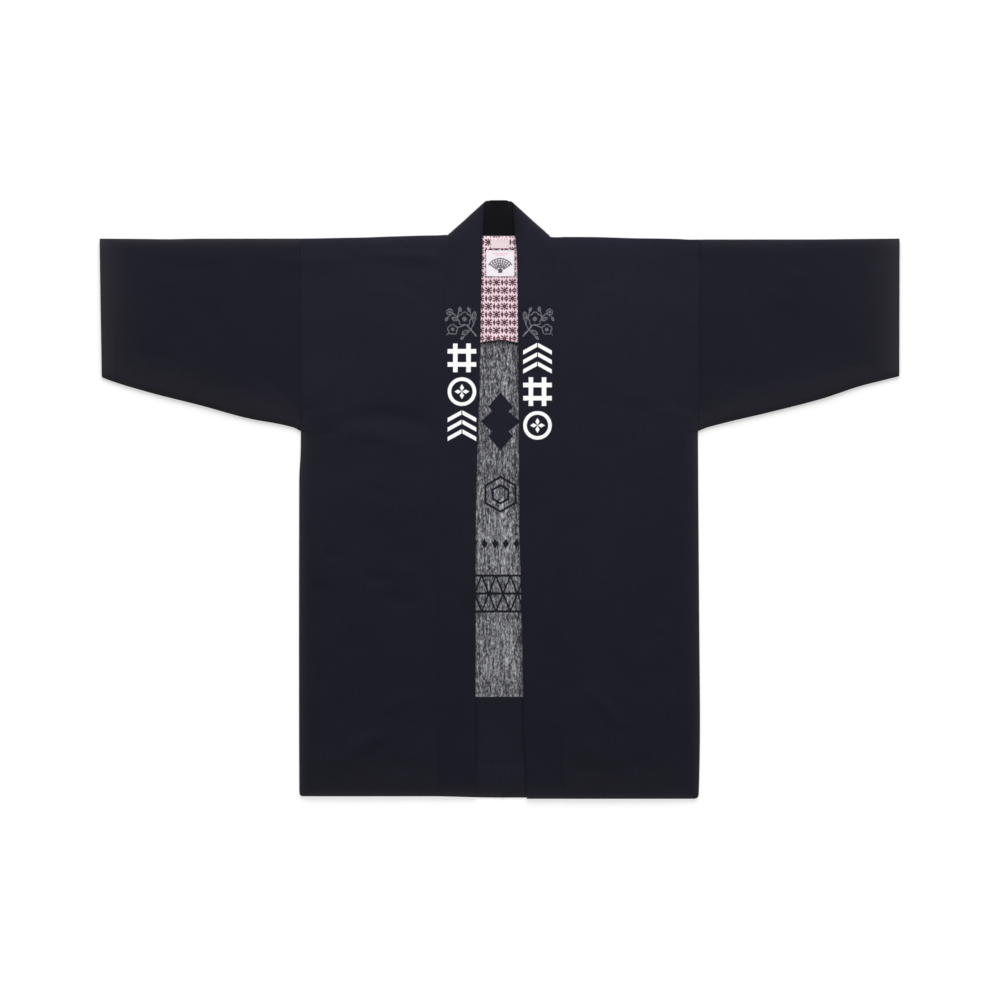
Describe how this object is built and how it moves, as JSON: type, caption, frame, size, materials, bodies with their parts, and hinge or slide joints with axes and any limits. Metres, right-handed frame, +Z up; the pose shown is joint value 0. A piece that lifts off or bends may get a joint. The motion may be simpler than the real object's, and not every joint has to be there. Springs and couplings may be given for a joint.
{
  "type": "happi coat laid flat",
  "caption": "Straight-cut short coat laid flat with its front slightly open, wide sleeves, a long doubled collar band and a printed lining at the neck.",
  "frame": {"origin": "on the surface the coat lies on, under the middle of its outline", "axes": "+X to the wearer's left along the sleeves, +Y towards the neck, +Z up out of the front"},
  "size_m": [1.1972, 0.8956, 0.006],
  "materials": {
    "body_cloth": "matt navy cotton, dyed in the piece, with white prints",
    "sleeve_cloth": "matt navy cotton",
    "collar_cloth": "matt navy cotton, doubled",
    "lining_cloth": "thin printed cotton, burgundy on pink",
    "label_white": "white woven label",
    "label_pink": "pale pink woven label"
  },
  "bodies": {
    "root": {"body_left": "body_cloth", "body_right": "body_cloth", "sleeve_left": "sleeve_cloth", "sleeve_right": "sleeve_cloth", "collar": "collar_cloth", "yoke_lining": "lining_cloth", "label_large": "label_white", "label_small": "label_pink"}
  },
  "joints": []
}
